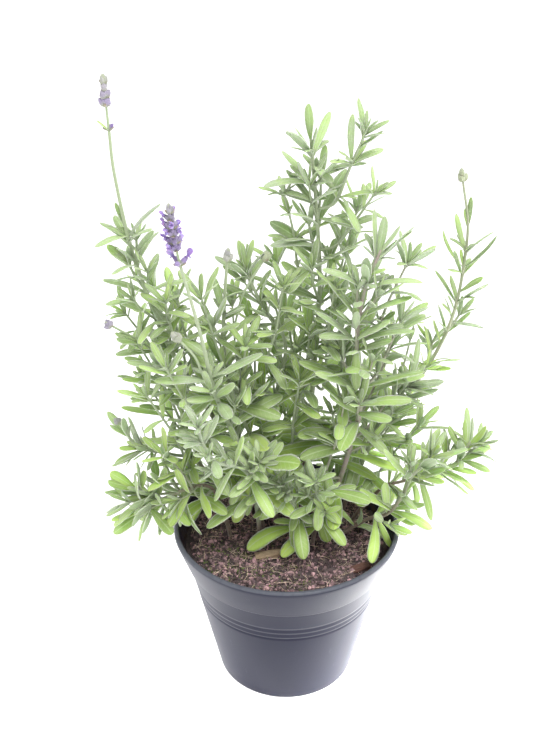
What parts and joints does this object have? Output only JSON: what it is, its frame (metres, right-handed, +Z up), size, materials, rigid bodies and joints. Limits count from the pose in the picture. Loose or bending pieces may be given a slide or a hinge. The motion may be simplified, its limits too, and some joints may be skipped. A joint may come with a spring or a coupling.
{
  "type": "potted lavender",
  "caption": "Bushy lavender plant with narrow grey-green leaves, buds and violet flower spikes, growing in soil in a tapered plastic pot that stands on a flat base.",
  "frame": {"origin": "centre of the pot's foot, on the surface that the pot stands on", "axes": "+Z up along the pot's axis; -Y towards the viewer; +X to the viewer's right, the side of the long bare-tipped stem"},
  "size_m": [0.2145, 0.1492, 0.3556],
  "materials": {
    "pot": "smooth satin bluish anthracite grey, slightly lighter where it catches the light",
    "soil": "dark brown peat with pale fibres and patches of green moss, fully matte",
    "foliage": "grey-green leaves and stems with a fine pale felt, matte",
    "flower": "violet petals on lilac-grey calyces, matte",
    "bud": "closed grey-green and lilac flower buds, matte",
    "pale_wood": "pale raw wood chip, fibrous",
    "bark": "reddish brown bark, rough"
  },
  "bodies": {
    "root": {"bloom_open": "flower", "bloom_tall": "flower", "bud_front": "bud", "bud_inner": "bud", "bud_left": "bud", "bud_low": "bud", "bud_right": "bud", "bud_upper": "bud", "chip_bark": "bark", "chip_pale": "pale_wood", "clod": "bark", "pot": "pot", "soil": "soil", "stem_back_centre": "foliage", "stem_back_left": "foliage", "stem_back_right": "foliage", "stem_centre_broad": "foliage", "stem_centre_left": "foliage", "stem_centre_right": "foliage", "stem_centre_tall": "foliage", "stem_front_centre": "foliage", "stem_front_left": "foliage", "stem_front_right": "foliage", "stem_left_inner": "foliage", "stem_left_low": "foliage", "stem_left_mid": "foliage", "stem_left_pale": "foliage", "stem_left_rim": "foliage", "stem_left_tall": "foliage", "stem_purple_head": "foliage", "stem_right_front": "foliage", "stem_right_low": "foliage", "stem_right_mid": "foliage", "stem_right_purple": "foliage", "stem_right_stalk": "foliage"}
  },
  "joints": []
}
